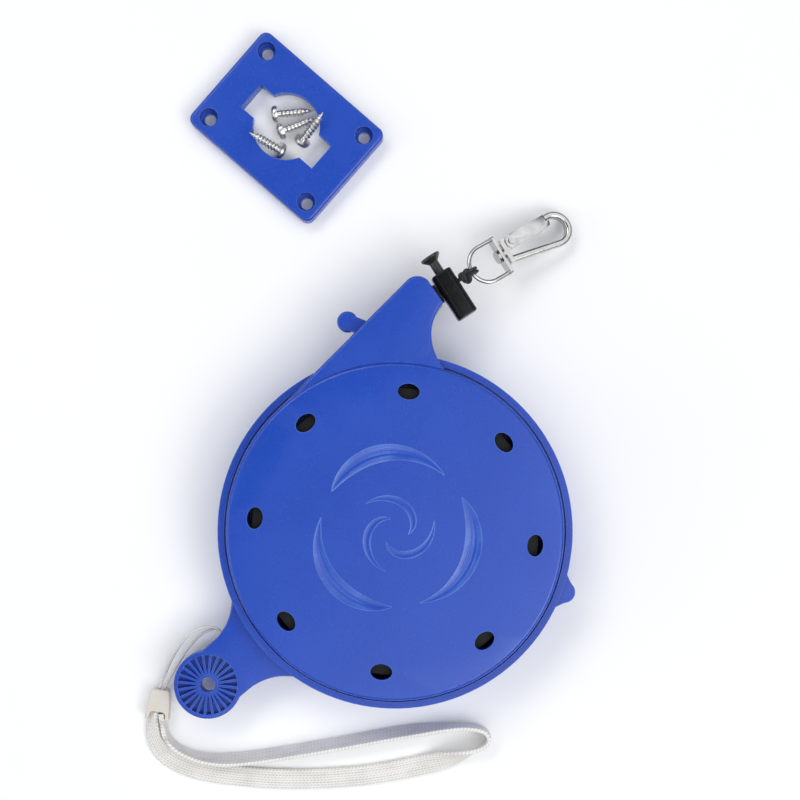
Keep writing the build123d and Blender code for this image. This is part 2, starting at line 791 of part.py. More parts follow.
slot_half = line_r + 2 * parting
plunger_start = lock_start + plunger_in
with BuildPart() as lock_plunger:
    with BuildSketch(lock_plane(plunger_start)):
        Circle(lock_cavity_r - plunger_fit)
    extrude(amount=plunger_len)
    with BuildSketch(lock_plane(lock_start - plunger_out + plunger_head_t)):
        Circle(plunger_stem_r)
    extrude(amount=plunger_out)
    with BuildSketch(lock_plane(lock_start - plunger_out + plunger_head_t)):
        Circle(plunger_head_r)
    with BuildSketch(lock_plane(lock_start - plunger_out + plunger_head_t + plunger_flare)):
        Circle(plunger_stem_r)
    loft()
    with BuildSketch(lock_plane(lock_start - plunger_out)):
        Circle(plunger_head_r)
    extrude(amount=plunger_head_t)
    with BuildSketch(line_plane):
        with Locations((-plunger_travel / 2, 0)):
            Rectangle(2 * slot_half + plunger_travel, 2 * slot_half)
    extrude(amount=lock_w, both=True, mode=Mode.SUBTRACT)
finish(lock_plunger, "lock_plunger")

lock_spring_start = plunger_start + plunger_len + lock_spring_wire / 2 + lock_spring_gap
lock_spring_end = lock_start + cavity_len - lock_spring_wire / 2 - lock_spring_gap
with BuildPart() as lock_spring:
    with BuildLine() as coil:
        Helix(
            pitch=(lock_spring_end - lock_spring_start) / lock_spring_turns,
            height=lock_spring_end - lock_spring_start,
            radius=lock_cavity_r - lock_spring_wire,
            center=lock_plane(lock_spring_start).origin,
            direction=(*lock_axis, 0),
        )
    with BuildSketch(Plane(origin=coil.line @ 0, z_dir=coil.line % 0)):
        Circle(lock_spring_wire / 2)
    sweep(path=coil.line)
finish(lock_spring, "lock_spring")

# ---------------------------------------------------------------- line's end, through the lock to the knot
knot_at = lock_far + knot_gap + knot_r
loop_r = ring_wire_r + loop_fit + line_r
ring_at = knot_at + knot_r + ring_wire_r - ring_sink

with BuildPart() as line_end:
    with BuildSketch(mouth_plane.offset(-guide_len)):
        Circle(line_r)
    extrude(amount=guide_len + knot_at - knot_r)
finish(line_end, "line_end")

# Everything beyond the knot lies in the end plane: X along the hook, Y across it, Z up out of the ring
end_x = (
    cos(radians(end_angle)) * cos(radians(droop)),
    sin(radians(end_angle)) * cos(radians(droop)),
    -sin(radians(droop)),
)
end_z = (
    cos(radians(end_angle)) * sin(radians(droop)),
    sin(radians(end_angle)) * sin(radians(droop)),
    cos(radians(droop)),
)
end_plane = Plane(origin=along_line(ring_at), x_dir=end_x, z_dir=end_z)


def end_point(x, y, z=0.0):
    return end_plane.from_local_coords(Vector(x, y, z))


across_plane = Plane(origin=end_plane.origin, x_dir=end_plane.x_dir, z_dir=end_plane.y_dir)


def axial_plane(distance):
    """Plane across the hook's axis."""
    return Plane(origin=end_point(distance, 0), x_dir=end_plane.y_dir, z_dir=end_plane.x_dir)


knot_plane = Plane(origin=along_line(knot_at), x_dir=(*line_dir, 0), z_dir=(-line_dir[1], line_dir[0], 0))
with BuildPart() as line_knot:
    with BuildSketch(knot_plane):
        Circle(knot_r)
        with Locations((0, -knot_r)):
            Rectangle(4 * knot_r, 2 * knot_r, mode=Mode.SUBTRACT)
    revolve(axis=Axis(along_line(knot_at), (*line_dir, 0)), revolution_arc=360)
    with BuildSketch(across_plane):
        Circle(ring_wire_r + 2 * loop_fit)
    extrude(amount=3 * knot_r, both=True, mode=Mode.SUBTRACT)
    with BuildSketch(Plane(origin=end_point(-loop_r, 0), x_dir=end_plane.x_dir, z_dir=end_plane.z_dir)):
        Circle(line_r)
    revolve(axis=Axis(end_plane.origin, end_plane.y_dir), revolution_arc=360)
finish(line_knot, "line_knot")

# ---------------------------------------------------------------- end ring
with BuildPart() as d_ring:
    with BuildLine(end_plane) as ring_line:
        Line((ring_bar_at, ring_half), (ring_half, ring_half))
        ThreePointArc((ring_half, ring_half), (0, 0), (ring_half, -ring_half))
        Line((ring_half, -ring_half), (ring_bar_at, -ring_half))
    with BuildSketch(Plane(origin=ring_line.line @ 0, z_dir=ring_line.line % 0)):
        Circle(ring_wire_r)
    sweep(path=ring_line.line)
    with BuildSketch(axial_plane(ring_bar_at - ring_bar_t / 2)):
        RectangleRounded(2 * (ring_half + ring_wire_r), ring_bar_h, ring_bar_corner)
        Circle(stem_r + running, mode=Mode.SUBTRACT)
    extrude(amount=ring_bar_t)
finish(d_ring, "d_ring")

# ---------------------------------------------------------------- snap hook
bend_low = (
    hook_bend_at[0] + hook_bend_r * cos(radians(-90 - hook_lean)),
    hook_bend_at[1] + hook_bend_r * sin(radians(-90 - hook_lean)),
)
spine_run = (bend_low[0] - hook_base_at - hook_base_t / 2) / cos(radians(hook_lean))
spine_start = (
    bend_low[0] - spine_run * cos(radians(hook_lean)),
    bend_low[1] + spine_run * sin(radians(hook_lean)),
)
bend_far = (hook_bend_at[0] + hook_bend_r, hook_bend_at[1])
nose_y = hook_bend_at[1] + hook_bend_r
nose_end = hook_bend_at[0] - nose_len
inner_bar = ring_bar_at - ring_bar_t / 2
outer_bar = ring_bar_at + ring_bar_t / 2

with BuildPart() as hook_body:
    with BuildLine(end_plane) as hook_line:
        Line(spine_start, bend_low)
        ThreePointArc(bend_low, bend_far, (hook_bend_at[0], nose_y))
        Line((hook_bend_at[0], nose_y), (nose_end, nose_y))
    with BuildSketch(Plane(origin=hook_line.line @ 0, x_dir=end_plane.z_dir, z_dir=hook_line.line % 0)):
        RectangleRounded(hook_t, hook_w, hook_corner)
    sweep(path=hook_line.line)
    with BuildSketch(end_plane.offset(-hook_t / 2 - hook_base_over)):
        with Locations((hook_base_at + hook_base_t / 2, (hook_base_low + hook_base_high) / 2)):
            RectangleRounded(hook_base_t, hook_base_high - hook_base_low, hook_base_corner)
    extrude(amount=hook_t + 2 * hook_base_over)
    with BuildSketch(end_plane.offset(-pivot_lug_t / 2)):
        with Locations(pivot_at):
            Circle(pivot_lug_r)
            lug_neck = pivot_at[0] - hook_base_at - hook_base_t / 2
            Rectangle(lug_neck, 2 * pivot_lug_r, align=(Align.MAX, Align.CENTER))
    extrude(amount=pivot_lug_t)
    with BuildSketch(axial_plane(outer_bar + 2 * parting)):
        Circle(collar_r)
    extrude(amount=hook_base_at - outer_bar - 2 * parting)
    with BuildSketch(axial_plane(inner_bar - 2 * parting)):
        Circle(stem_r)
    extrude(amount=hook_base_at - inner_bar + 2 * parting)
    with BuildSketch(axial_plane(inner_bar - 2 * parting - stem_head_t)):
        Circle(stem_head_r)
    extrude(amount=stem_head_t)
    with BuildSketch(end_plane):
        with Locations(pivot_at):
            Circle(rivet_r + running / 2)
    extrude(amount=hook_t, both=True, mode=Mode.SUBTRACT)
finish(hook_body, "hook_body")

gate_inner_t = pivot_lug_t / 2 + gate_side_gap
gate_half_t = gate_inner_t + gate_sheet
gate_end = nose_end - loose
lip_top = nose_y - hook_w / 2 - loose

with BuildPart() as hook_gate:
    with BuildSketch(end_plane.offset(-gate_half_t)):
        with BuildLine():
            Polyline(
                (pivot_at[0], gate_outer),
                (gate_end, gate_outer),
                (gate_end, lip_top),
                *[(gate_end + out, lip_top + up) for out, up in gate_lip],
                (gate_end + gate_belly[0], gate_belly[1]),
                (pivot_at[0], pivot_at[1] - gate_flank_r),
                (pivot_at[0], gate_outer),
            )
        make_face()
        with Locations(pivot_at):
            Circle(gate_flank_r)
    extrude(amount=2 * gate_half_t)
    with BuildSketch(end_plane.offset(-gate_inner_t)):
        with BuildLine():
            Polyline(
                (pivot_at[0] - 2 * gate_flank_r, gate_outer + gate_sheet),
                (pivot_at[0] + gate_flank_r + gate_web, gate_outer + gate_sheet),
                (pivot_at[0] + gate_flank_r + gate_web, gate_outer - gate_sheet),
                (gate_end - gate_sheet, gate_outer - gate_sheet),
                (gate_end - gate_sheet, gate_open_low),
                (pivot_at[0] - 2 * gate_flank_r, gate_open_low),
                close=True,
            )
        make_face()
    extrude(amount=2 * gate_inner_t, mode=Mode.SUBTRACT)
    with BuildSketch(end_plane):
        with Locations(pivot_at):
            Circle(rivet_r + running)
    extrude(amount=hook_t, both=True, mode=Mode.SUBTRACT)
finish(hook_gate, "hook_gate")

with BuildPart() as gate_rivet:
    with BuildSketch(end_plane.offset(-gate_half_t - parting)):
        with Locations(pivot_at):
            Circle(rivet_r)
    extrude(amount=2 * (gate_half_t + parting))
    for side in (-1, 1):
        with BuildSketch(end_plane.offset(side * (gate_half_t + parting))):
            with Locations(pivot_at):
                Circle(rivet_r * rivet_head)
        extrude(amount=side * rivet_head_t)
finish(gate_rivet, "gate_rivet")


# ---------------------------------------------------------------- wall plate and its screws
plate_plane = Plane(origin=(*plate_at, 0), x_dir=(*polar(1, plate_turn), 0), z_dir=(0, 0, 1))

with BuildPart() as wall_plate:
    with BuildSketch(plate_plane):
        RectangleRounded(plate_long, plate_wide, plate_corner)
    extrude(amount=plate_t)
    fillet(edges().filter_by(lambda edge: abs(edge.center().Z - plate_t) < 0.01), plate_fillet)
    with BuildSketch(plate_plane):
        Circle(window_r)
        Rectangle(key_slot_long, key_slot_wide)
    extrude(amount=plate_t, mode=Mode.SUBTRACT)
    with BuildSketch(plate_plane):
        Circle(key_slot_long / 2)
    extrude(amount=key_t + key_fit, mode=Mode.SUBTRACT)
    with BuildSketch(plate_plane):
        with GridLocations(plate_holes_long, plate_holes_wide, 2, 2):
            Circle(plate_hole_r)
    extrude(amount=plate_t, mode=Mode.SUBTRACT)
    with BuildSketch(plate_plane.offset(plate_t)):
        with GridLocations(plate_holes_long, plate_holes_wide, 2, 2):
            Circle(plate_head_r)
    extrude(amount=-plate_head_depth, mode=Mode.SUBTRACT)
finish(wall_plate, "wall_plate")


def wall_screw_outline(place, heading, tilt, height):
    """Half section of a pan-head screw with its head at a place and its point along the heading."""
    way = (
        cos(radians(heading)) * cos(radians(tilt)),
        sin(radians(heading)) * cos(radians(tilt)),
        sin(radians(tilt)),
    )
    side = (-sin(radians(heading)), cos(radians(heading)), 0)
    lie = Plane(origin=(plate_at[0] + place[0], plate_at[1] + place[1], height), x_dir=way, z_dir=side)
    with BuildSketch(lie) as outline:
        with BuildLine():
            head = [(wall_head_h * along, wall_head_r * out) for along, out in wall_head_arc]
            Line((0, 0), head[0])
            ThreePointArc(*head)
            Polyline(
                head[-1],
                (wall_head_h, wall_head_r),
                (wall_head_h, wall_shank_r),
                (wall_screw_len - wall_point, wall_shank_r),
                (wall_screw_len, 0),
                (0, 0),
            )
        make_face()
    return outline.sketch, Axis(lie.origin, lie.x_dir)


with BuildPart() as wall_screws:
    for lie in wall_screws_lie:
        screw_outline, screw_axis = wall_screw_outline(*lie)
        revolve(screw_outline, axis=screw_axis)
finish(wall_screws, "wall_screws")

# ---------------------------------------------------------------- wrist strap
clip_plane = Plane(origin=(*clip_at, 0), x_dir=(*polar(1, clip_axis), 0), z_dir=(0, 0, 1))

with BuildPart() as strap_clip:
    with BuildSketch(clip_plane):
        RectangleRounded(clip_len, clip_w, clip_corner)
    extrude(amount=clip_t)
    fillet(edges().filter_by(lambda edge: abs(edge.center().Z - clip_t) < 0.01), clip_edge)
finish(strap_clip, "strap_clip")


def corner_radii(route):
    """An arc for each corner of a route, as large as its two runs allow."""
    radii = []
    for before, here, after in zip(route, route[1:], route[2:]):
        run_in = Vector(*here) - Vector(*before)
        run_out = Vector(*after) - Vector(*here)
        half_turn = radians(run_in.get_angle(run_out)) / 2
        radii.append(0.45 * min(run_in.length, run_out.length) / tan(half_turn))
    return radii


def cord(name, route, radius):
    """A tube along a route of straight runs joined by tangent arcs."""
    radii = corner_radii(route)
    with BuildPart() as tube:
        with BuildLine() as path:
            FilletPolyline(*route, radius=radii)
        middle = path.wire()
        with BuildSketch(Plane(origin=middle @ 0, z_dir=middle % 0)):
            Circle(radius)
        sweep(path=middle)
    share = tube.part.volume / (pi * radius**2 * middle.length)
    print(f"{name}: length {middle.length:.1f}, volume over section times length {share:.4f}")
    print("    radii", " ".join(f"{arc:.1f}" for arc in radii))
    finish(tube, name)


cord("strap_cord_a", strand_a_route, strand_r)
cord("strap_cord_b", strand_b_route, strand_r)
cord("strap_band", band_route, band_tube_r)

print(f"line {line_length:.0f}, winding radius {winding_r:.2f}, tube radius of the band {band_tube_r:.2f}")
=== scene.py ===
import json
import math

import bmesh
import bpy
import numpy as np
from mathutils import Matrix, Vector


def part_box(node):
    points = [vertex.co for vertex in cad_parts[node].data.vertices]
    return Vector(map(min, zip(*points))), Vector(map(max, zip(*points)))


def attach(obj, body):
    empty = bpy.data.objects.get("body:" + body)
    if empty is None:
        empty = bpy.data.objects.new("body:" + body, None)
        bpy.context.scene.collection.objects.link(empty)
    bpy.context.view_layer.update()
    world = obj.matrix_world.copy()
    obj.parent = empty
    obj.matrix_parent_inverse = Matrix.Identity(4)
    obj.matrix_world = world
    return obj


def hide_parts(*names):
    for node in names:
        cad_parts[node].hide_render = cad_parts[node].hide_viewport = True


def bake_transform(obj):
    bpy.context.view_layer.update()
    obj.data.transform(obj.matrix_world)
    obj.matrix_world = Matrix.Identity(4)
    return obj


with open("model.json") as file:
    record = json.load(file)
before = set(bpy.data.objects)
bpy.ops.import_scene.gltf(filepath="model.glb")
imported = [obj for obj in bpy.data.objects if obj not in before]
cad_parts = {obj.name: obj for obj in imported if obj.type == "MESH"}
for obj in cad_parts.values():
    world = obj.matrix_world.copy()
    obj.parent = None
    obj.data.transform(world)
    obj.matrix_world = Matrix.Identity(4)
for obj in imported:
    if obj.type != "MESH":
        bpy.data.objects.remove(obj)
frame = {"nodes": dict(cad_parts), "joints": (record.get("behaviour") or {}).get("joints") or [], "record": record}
scene = bpy.context.scene
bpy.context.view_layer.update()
MM = 0.001

# ---------------------------------------------------------------- sizes (metres unless a name says otherwise)
joints = {joint["name"]: joint for joint in frame["joints"]}
disc_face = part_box("front_shell")[1].z
line_dir = Vector(joints["line_pull"]["axis"]).normalized()
ring_centre = Vector(joints["ring_swing"]["pos_m"])
ring_axis = Vector(joints["ring_swing"]["axis"]).normalized()
hook_axis = Vector(joints["hook_swivel"]["axis"]).normalized()
plate_low, plate_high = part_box("wall_plate")
plate_centre = (plate_low + plate_high) / 2
guide_low, guide_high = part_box("line_guide")
guide_centre = (guide_low + guide_high) / 2

LINE_R = 0.8 * MM
KNOT_R = 2.4 * MM
KNOT_TO_RING = 2.55 * MM   # knot's centre to the ring's wire, along the line
LOOP_R = 1.8 * MM
STRAND_R = 0.5 * MM
BAND_W = 7.0 * MM
BAND_T = 1.5 * MM

# Routes of the wrist strap's cords: the two sides of the thin loop, then the flat braid
STRAND_A = (
    (-59.9, -38.1, 7.6), (-62.7, -34.7, 7.7), (-67.6, -34.4, 8.2), (-71.9, -36.3, 8.0),
    (-75.1, -39.6, 7.2), (-77.8, -43.6, 6.0), (-80.6, -48.6, 4.4), (-84.2, -57.2, 2.5),
)
STRAND_B = (
    (-59.9, -38.1, 6.4), (-62.9, -35.1, 6.3), (-66.4, -35.9, 6.2), (-69.9, -38.2, 5.8),
    (-73.2, -42.0, 5.0), (-76.2, -46.4, 4.1), (-79.2, -51.4, 3.1), (-82.6, -57.4, 2.5),
)
BAND = (
    (-86.4, -65.4, 1.6), (-86.7, -68.1, 1.6), (-86.2, -75.0, 1.6), (-82.4, -81.3, 1.6), (-73.8, -85.9, 1.6),
    (-61.1, -88.5, 1.6), (-37.7, -90.3, 1.6), (-11.7, -89.0, 1.6), (8.0, -85.4, 1.6),
    (21.5, -81.8, 1.6), (29.6, -79.0, 1.6), (33.8, -76.0, 1.6), (32.6, -72.2, 1.6),
    (27.4, -70.7, 1.6), (17.6, -70.8, 1.6), (1.3, -72.9, 1.6), (-16.1, -76.2, 1.6),
    (-33.4, -79.2, 1.6), (-50.7, -82.0, 1.6), (-65.4, -82.9, 1.6), (-76.4, -79.6, 1.6),
    (-81.6, -74.6, 1.6), (-83.0, -68.8, 1.6), (-83.3, -66.2, 1.6),
)

# ---------------------------------------------------------------- camera, light and floor
CAMERA_AT = (1.7 * MM, 30.0 * MM)
CAMERA_ABOVE = 480.0 * MM  # over the cover's face
FIELD = 273.0 * MM         # width that the frame takes in at the cover's face
FRAME_UP = 15.0 * MM       # frame's centre above the camera's foot
SENSOR = 36.0

camera_data = bpy.data.cameras.new("camera")
camera_data.sensor_width = SENSOR
camera_data.lens = SENSOR * CAMERA_ABOVE / FIELD
camera_data.shift_y = FRAME_UP / FIELD
camera_data.clip_start = 0.01
camera = bpy.data.objects.new("camera", camera_data)
camera.location = (*CAMERA_AT, disc_face + CAMERA_ABOVE)
scene.collection.objects.link(camera)
scene.camera = camera
scene.view_settings.view_transform = "Standard"


def soft_box(name, place, aim, size, power):
    data = bpy.data.lights.new(name, "AREA")
    data.shape = "RECTANGLE"
    data.size, data.size_y = size
    data.energy = power
    light = bpy.data.objects.new(name, data)
    light.location = place
    light.rotation_euler = (Vector(aim) - Vector(place)).to_track_quat("-Z", "Y").to_euler()
    scene.collection.objects.link(light)


WORK = (0.0, 0.03, 0.0)        # what the large boxes are aimed at
soft_box("light_top", (-0.55, 0.80, 1.10), WORK, (0.9, 0.5), 3.8)
soft_box("light_right", (0.80, -0.50, 0.95), WORK, (0.7, 0.6), 4.9)
soft_box("light_left", (-1.10, -0.15, 0.50), WORK, (0.7, 0.3), 1.7)
soft_box("light_hook", (0.17, 0.30, 1.30), (0.05, 0.10, 0.0), (0.17, 0.17), 0.06)


# ---------------------------------------------------------------- node helpers
def surface_of(name, **values):
    """A new material and its shader, with the shader's own sockets set; underscores stand for spaces."""
    material = bpy.data.materials.new(name)
    material.use_nodes = True
    shader = material.node_tree.nodes["Principled BSDF"]
    for socket, value in values.items():
        shader.inputs[socket.replace("_", " ")].default_value = value
    return material, material.node_tree, shader


def place_of(tree, kind="Object"):
    return tree.nodes.new("ShaderNodeTexCoord").outputs[kind]


def stretched(tree, source, scale):
    mapping = tree.nodes.new("ShaderNodeMapping")
    mapping.inputs["Scale"].default_value = scale
    tree.links.new(source, mapping.inputs["Vector"])
    return mapping.outputs["Vector"]


def noise(tree, source, size, detail=4.0, rough=0.5):
    """Noise whose features are about this many metres across."""
    node = tree.nodes.new("ShaderNodeTexNoise")
    node.inputs["Scale"].default_value = 1 / size
    node.inputs["Detail"].default_value = detail
    node.inputs["Roughness"].default_value = rough
    tree.links.new(source, node.inputs["Vector"])
    return node.outputs["Fac"]


def levels(tree, source, low, high, to_low=0.0, to_high=1.0):
    node = tree.nodes.new("ShaderNodeMapRange")
    for socket, value in zip(("From Min", "From Max", "To Min", "To Max"), (low, high, to_low, to_high)):
        node.inputs[socket].default_value = value
    tree.links.new(source, node.inputs["Value"])
    return node.outputs["Result"]


def maths(tree, kind, first, second):
    node = tree.nodes.new("ShaderNodeMath")
    node.operation = kind
    for socket, value in zip(node.inputs, (first, second)):
        if isinstance(value, float):
            socket.default_value = value
        else:
            tree.links.new(value, socket)
    return node.outputs["Value"]


def between(tree, factor, first, second):
    """Colour between two, each a plain colour or another node's."""
    node = tree.nodes.new("ShaderNodeMix")
    node.data_type = "RGBA"
    tree.links.new(factor, node.inputs["Factor"])
    for socket, value in zip((node.inputs[6], node.inputs[7]), (first, second)):
        if isinstance(value, tuple):
            socket.default_value = (*value, 1.0)
        else:
            tree.links.new(value, socket)
    return node.outputs[2]


def bump(tree, shader, height, depth):
    node = tree.nodes.new("ShaderNodeBump")
    node.inputs["Distance"].default_value = depth
    node.inputs["Strength"].default_value = 1.0
    tree.links.new(height, node.inputs["Height"])
    tree.links.new(node.outputs["Normal"], shader.inputs["Normal"])


def named_value(tree, name):
    node = tree.nodes.new("ShaderNodeAttribute")
    node.attribute_name = name
    return node.outputs["Fac"]


def edge_highlight_and_wear(tree, source, radius=0.5 * MM, patch=9 * MM):
    """Edge mask for a painted highlight, partly wear: where a rounded surface would turn from the real one, broken
    up by patches.
    """
    rounded = tree.nodes.new("ShaderNodeBevel")
    rounded.samples = 4
    rounded.inputs["Radius"].default_value = radius
    facing = tree.nodes.new("ShaderNodeVectorMath")
    facing.operation = "DOT_PRODUCT"
    tree.links.new(rounded.outputs["Normal"], facing.inputs[0])
    tree.links.new(tree.nodes.new("ShaderNodeNewGeometry").outputs["Normal"], facing.inputs[1])
    sharp = levels(tree, facing.outputs["Value"], 0.99, 0.85)
    return maths(tree, "MULTIPLY", sharp, levels(tree, noise(tree, source, patch, 5.0), 0.30, 0.60))


def scratches(tree, source, size, stretch):
    lines = noise(tree, stretched(tree, source, stretch), size, 2.0, 0.6)
    return levels(tree, lines, 0.66, 0.74)


SKY_LEAN = (0.75, -0.66, 0.0)  # the way in which the overhead light grows
SKY_DIM = 0.10                 # strength at the horizon
SKY_RING = 1.25                # strength of the bright ring above it
SKY_TOP = (0.03, 2.0)          # strength overhead, from its dim side to its bright side
SKY_TINT = (0.95, 0.97, 1.0, 1.0)


def make_world():
    """Studio air: dim at the horizon, a bright ring above it, and brighter overhead to the lower right."""
    world = bpy.data.worlds.new("studio")
    world.use_nodes = True
    tree = world.node_tree
    place = place_of(tree, "Generated")
    lean = tree.nodes.new("ShaderNodeVectorMath")
    lean.operation = "DOT_PRODUCT"
    lean.inputs[1].default_value = SKY_LEAN
    tree.links.new(place, lean.inputs[0])
    apart = tree.nodes.new("ShaderNodeSeparateXYZ")
    tree.links.new(place, apart.inputs["Vector"])
    height = apart.outputs["Z"]
    overhead = levels(tree, lean.outputs["Value"], -0.06, 0.17, *SKY_TOP)
    ring = levels(tree, height, 0.48, 0.66, SKY_DIM, SKY_RING)
    top = levels(tree, height, 0.80, 0.90)
    strength = maths(
        tree,
        "ADD",
        maths(tree, "MULTIPLY", overhead, top),
        maths(tree, "MULTIPLY", ring, maths(tree, "SUBTRACT", 1.0, top)),
    )
    tree.nodes["Background"].inputs["Color"].default_value = SKY_TINT
    tree.links.new(strength, tree.nodes["Background"].inputs["Strength"])
    scene.world = world


make_world()


# ---------------------------------------------------------------- materials
def moulded_plastic(name, deep, light, highlight_and_worn, rough, grain, **values):
    """Injection-moulded plastic: mottled colour, fine grain, edges painted lighter as a highlight (partly wear),
    relief ridges painted lighter as a highlight, and hair scratches.
    """
    material, tree, shader = surface_of(name, IOR=1.5, **values)
    place = place_of(tree)
    mottle = levels(tree, noise(tree, place, 24 * MM, 3.0), 0.3, 0.7)
    colour = between(tree, mottle, deep, light)
    # edges painted toward the pale colour: a painted highlight, partly wear
    colour = between(tree, maths(tree, "MULTIPLY", edge_highlight_and_wear(tree, place), 0.45), colour, highlight_and_worn)
    hair = maths(
        tree,
        "MAXIMUM",
        scratches(tree, place, 2.2 * MM, (1.0, 14.0, 1.0)),
        scratches(tree, place, 2.6 * MM, (11.0, 1.0, 1.0)),
    )
    # relief ridges painted toward the pale colour as a painted highlight; the hair scratches are real wear
    ridge_highlight = maths(tree, "MULTIPLY", named_value(tree, "relief"), 0.22)
    raised = maths(tree, "MAXIMUM", maths(tree, "MULTIPLY", hair, 0.10), ridge_highlight)
    colour = between(tree, raised, colour, highlight_and_worn)
    tree.links.new(colour, shader.inputs["Base Color"])
    fine = noise(tree, place, grain, 3.0)
    smear = noise(tree, place, 11 * MM, 4.0)
    gloss = maths(tree, "ADD", levels(tree, smear, 0.3, 0.7, rough - 0.02, rough + 0.03),
                  maths(tree, "MULTIPLY", hair, 0.10))
    tree.links.new(gloss, shader.inputs["Roughness"])
    height = maths(tree, "SUBTRACT", maths(tree, "MULTIPLY", fine, 0.5), maths(tree, "MULTIPLY", hair, 0.25))
    bump(tree, shader, height, 0.02 * MM)
    return material


def bright_metal(name, colour, dull, rough, drawn):
    """Plated or polished metal: faint drawing lines and dull patches."""
    material, tree, shader = surface_of(name, Metallic=1.0)
    place = place_of(tree)
    patches = levels(tree, noise(tree, place, 3 * MM, 5.0), 0.35, 0.7)
    dulled = between(tree, maths(tree, "MULTIPLY", patches, 0.5), colour, dull)
    tree.links.new(dulled, shader.inputs["Base Color"])
    lines = noise(tree, stretched(tree, place, drawn), 0.5 * MM, 3.0)
    gloss = maths(tree, "ADD", levels(tree, patches, 0.0, 1.0, rough, rough + 0.10),
                  maths(tree, "MULTIPLY", lines, 0.06))
    tree.links.new(gloss, shader.inputs["Roughness"])
    bump(tree, shader, lines, 0.006 * MM)
    return material


def threads(name, crest, shaded_groove, rough, fibre, sheen):
    """Braided or twisted thread: grooves painted darker than crests as painted shade, with fine fibres and a soft
    sheen.
    """
    material, tree, shader = surface_of(name, Sheen_Weight=sheen, Sheen_Roughness=0.45, IOR=1.5)
    place = place_of(tree)
    relief = named_value(tree, "relief")
    uneven = levels(tree, noise(tree, place, 7 * MM, 4.0), 0.3, 0.7, 0.0, 0.25)
    shade = maths(tree, "SUBTRACT", relief, uneven)
    # grooves painted darker than crests: painted shade in the braid's creases
    tree.links.new(between(tree, levels(tree, shade, 0.0, 0.75), shaded_groove, crest), shader.inputs["Base Color"])
    fibres = noise(tree, place, fibre, 5.0, 0.7)
    tree.links.new(levels(tree, fibres, 0.3, 0.7, rough - 0.1, rough + 0.1), shader.inputs["Roughness"])
    bump(tree, shader, fibres, 0.05 * MM)
    return material


BLUE_DEEP = (0.010, 0.060, 0.430)
BLUE_LIGHT = (0.012, 0.067, 0.460)
# pale blue for the painted highlight on edges and relief ridges, and for wear and scratches
BLUE_HIGHLIGHT_AND_WORN = (0.20, 0.38, 0.86)
# each moulded plastic's last colour is paler: painted highlight on edges and ridges, also its wear and scratches
made = {
    "blue_plastic": moulded_plastic("blue_abs", BLUE_DEEP, BLUE_LIGHT, BLUE_HIGHLIGHT_AND_WORN, 0.27, 0.7 * MM),
    "black_plastic": moulded_plastic(
        "black_abs", (0.004, 0.004, 0.004), (0.007, 0.007, 0.008), (0.03, 0.03, 0.03), 0.55, 0.6 * MM,
        Specular_IOR_Level=0.25,
    ),
    "lock_black": moulded_plastic(
        "lock_gloss_black", (0.004, 0.004, 0.005), (0.010, 0.010, 0.011), (0.30, 0.30, 0.29), 0.24, 0.9 * MM,
        Specular_IOR_Level=0.22,
    ),
    "lock_grey": moulded_plastic(
        "plunger_dark_grey", (0.018, 0.018, 0.018), (0.032, 0.032, 0.031), (0.20, 0.20, 0.19), 0.28, 0.7 * MM,
        Coat_Weight=0.4, Coat_Roughness=0.2,
    ),
    "white_plastic": moulded_plastic(
        "ivory_pp", (0.66, 0.62, 0.54), (0.71, 0.67, 0.60), (0.80, 0.78, 0.72), 0.38, 0.8 * MM,
        Subsurface_Weight=0.15, Subsurface_Scale=0.6 * MM,
    ),
    "chrome": bright_metal("chrome_plate", (0.60, 0.59, 0.58), (0.42, 0.40, 0.38), 0.08, (1.0, 1.0, 8.0)),
    "zinc_steel": bright_metal("zinc_plate", (0.72, 0.72, 0.70), (0.48, 0.47, 0.44), 0.24, (6.0, 6.0, 1.0)),
    "spring_steel": bright_metal(
        "blued_spring", (0.34, 0.36, 0.40), (0.22, 0.22, 0.24), 0.28, (1.0, 1.0, 12.0)
    ),
    # each thread's second colour is the painted shade in its grooves
    "black_braid": threads("line_braid", (0.020, 0.020, 0.022), (0.003, 0.003, 0.003), 0.62, 0.12 * MM, 0.15),
    "white_cord": threads("strand_nylon", (0.74, 0.73, 0.70), (0.38, 0.37, 0.35), 0.42, 0.15 * MM, 0.1),
    "white_braid": threads("strap_braid", (0.85, 0.83, 0.80), (0.50, 0.48, 0.43), 0.62, 0.15 * MM, 0.3),
}


# ---------------------------------------------------------------- mesh helpers
def add_piece(name, mesh, slot, body=None):
    """Links a mesh as a piece, with its slot's material; rides on a body when one is given."""
    piece = bpy.data.objects.new(name, mesh)
    scene.collection.objects.link(piece)
    mesh.materials.clear()
    mesh.materials.append(made[slot])
    mesh.shade_smooth()
    if body:
        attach(piece, body)
    return piece


def skin(name, rings, closed=False, relief=None):
    """Mesh over rings of points, each joined to the next, with capped ends unless it closes on itself."""
    count, around = rings.shape[:2]
    faces = []
    for i in range(count if closed else count - 1):
        here = i * around
        there = (i + 1) % count * around
        for j in range(around):
            after = (j + 1) % around
            faces.append((here + j, here + after, there + after, there + j))
    if not closed:
        faces.append(tuple(range(around)))
        faces.append(tuple((count - 1) * around + j for j in range(around)))
    mesh = bpy.data.meshes.new(name)
    mesh.from_pydata(rings.reshape(-1, 3).tolist(), [], faces)
    shape = bmesh.new()
    shape.from_mesh(mesh)
    bmesh.ops.recalc_face_normals(shape, faces=shape.faces)
    shape.to_mesh(mesh)
    shape.free()
    if relief is not None:
        layer = mesh.attributes.new("relief", "FLOAT", "POINT")
        layer.data.foreach_set("value", relief.astype(np.float32).ravel())
    return mesh


def joined(name, meshes):
    """One mesh of several, with their relief values."""
    parts = [bpy.data.objects.new(f"{name}_{i}", mesh) for i, mesh in enumerate(meshes)]
    for part in parts:
        scene.collection.objects.link(part)
    with bpy.context.temp_override(active_object=parts[0], selected_editable_objects=parts):
        bpy.ops.object.join()
    mesh = parts[0].data
    bpy.data.objects.remove(parts[0])
    mesh.name = name
    return mesh


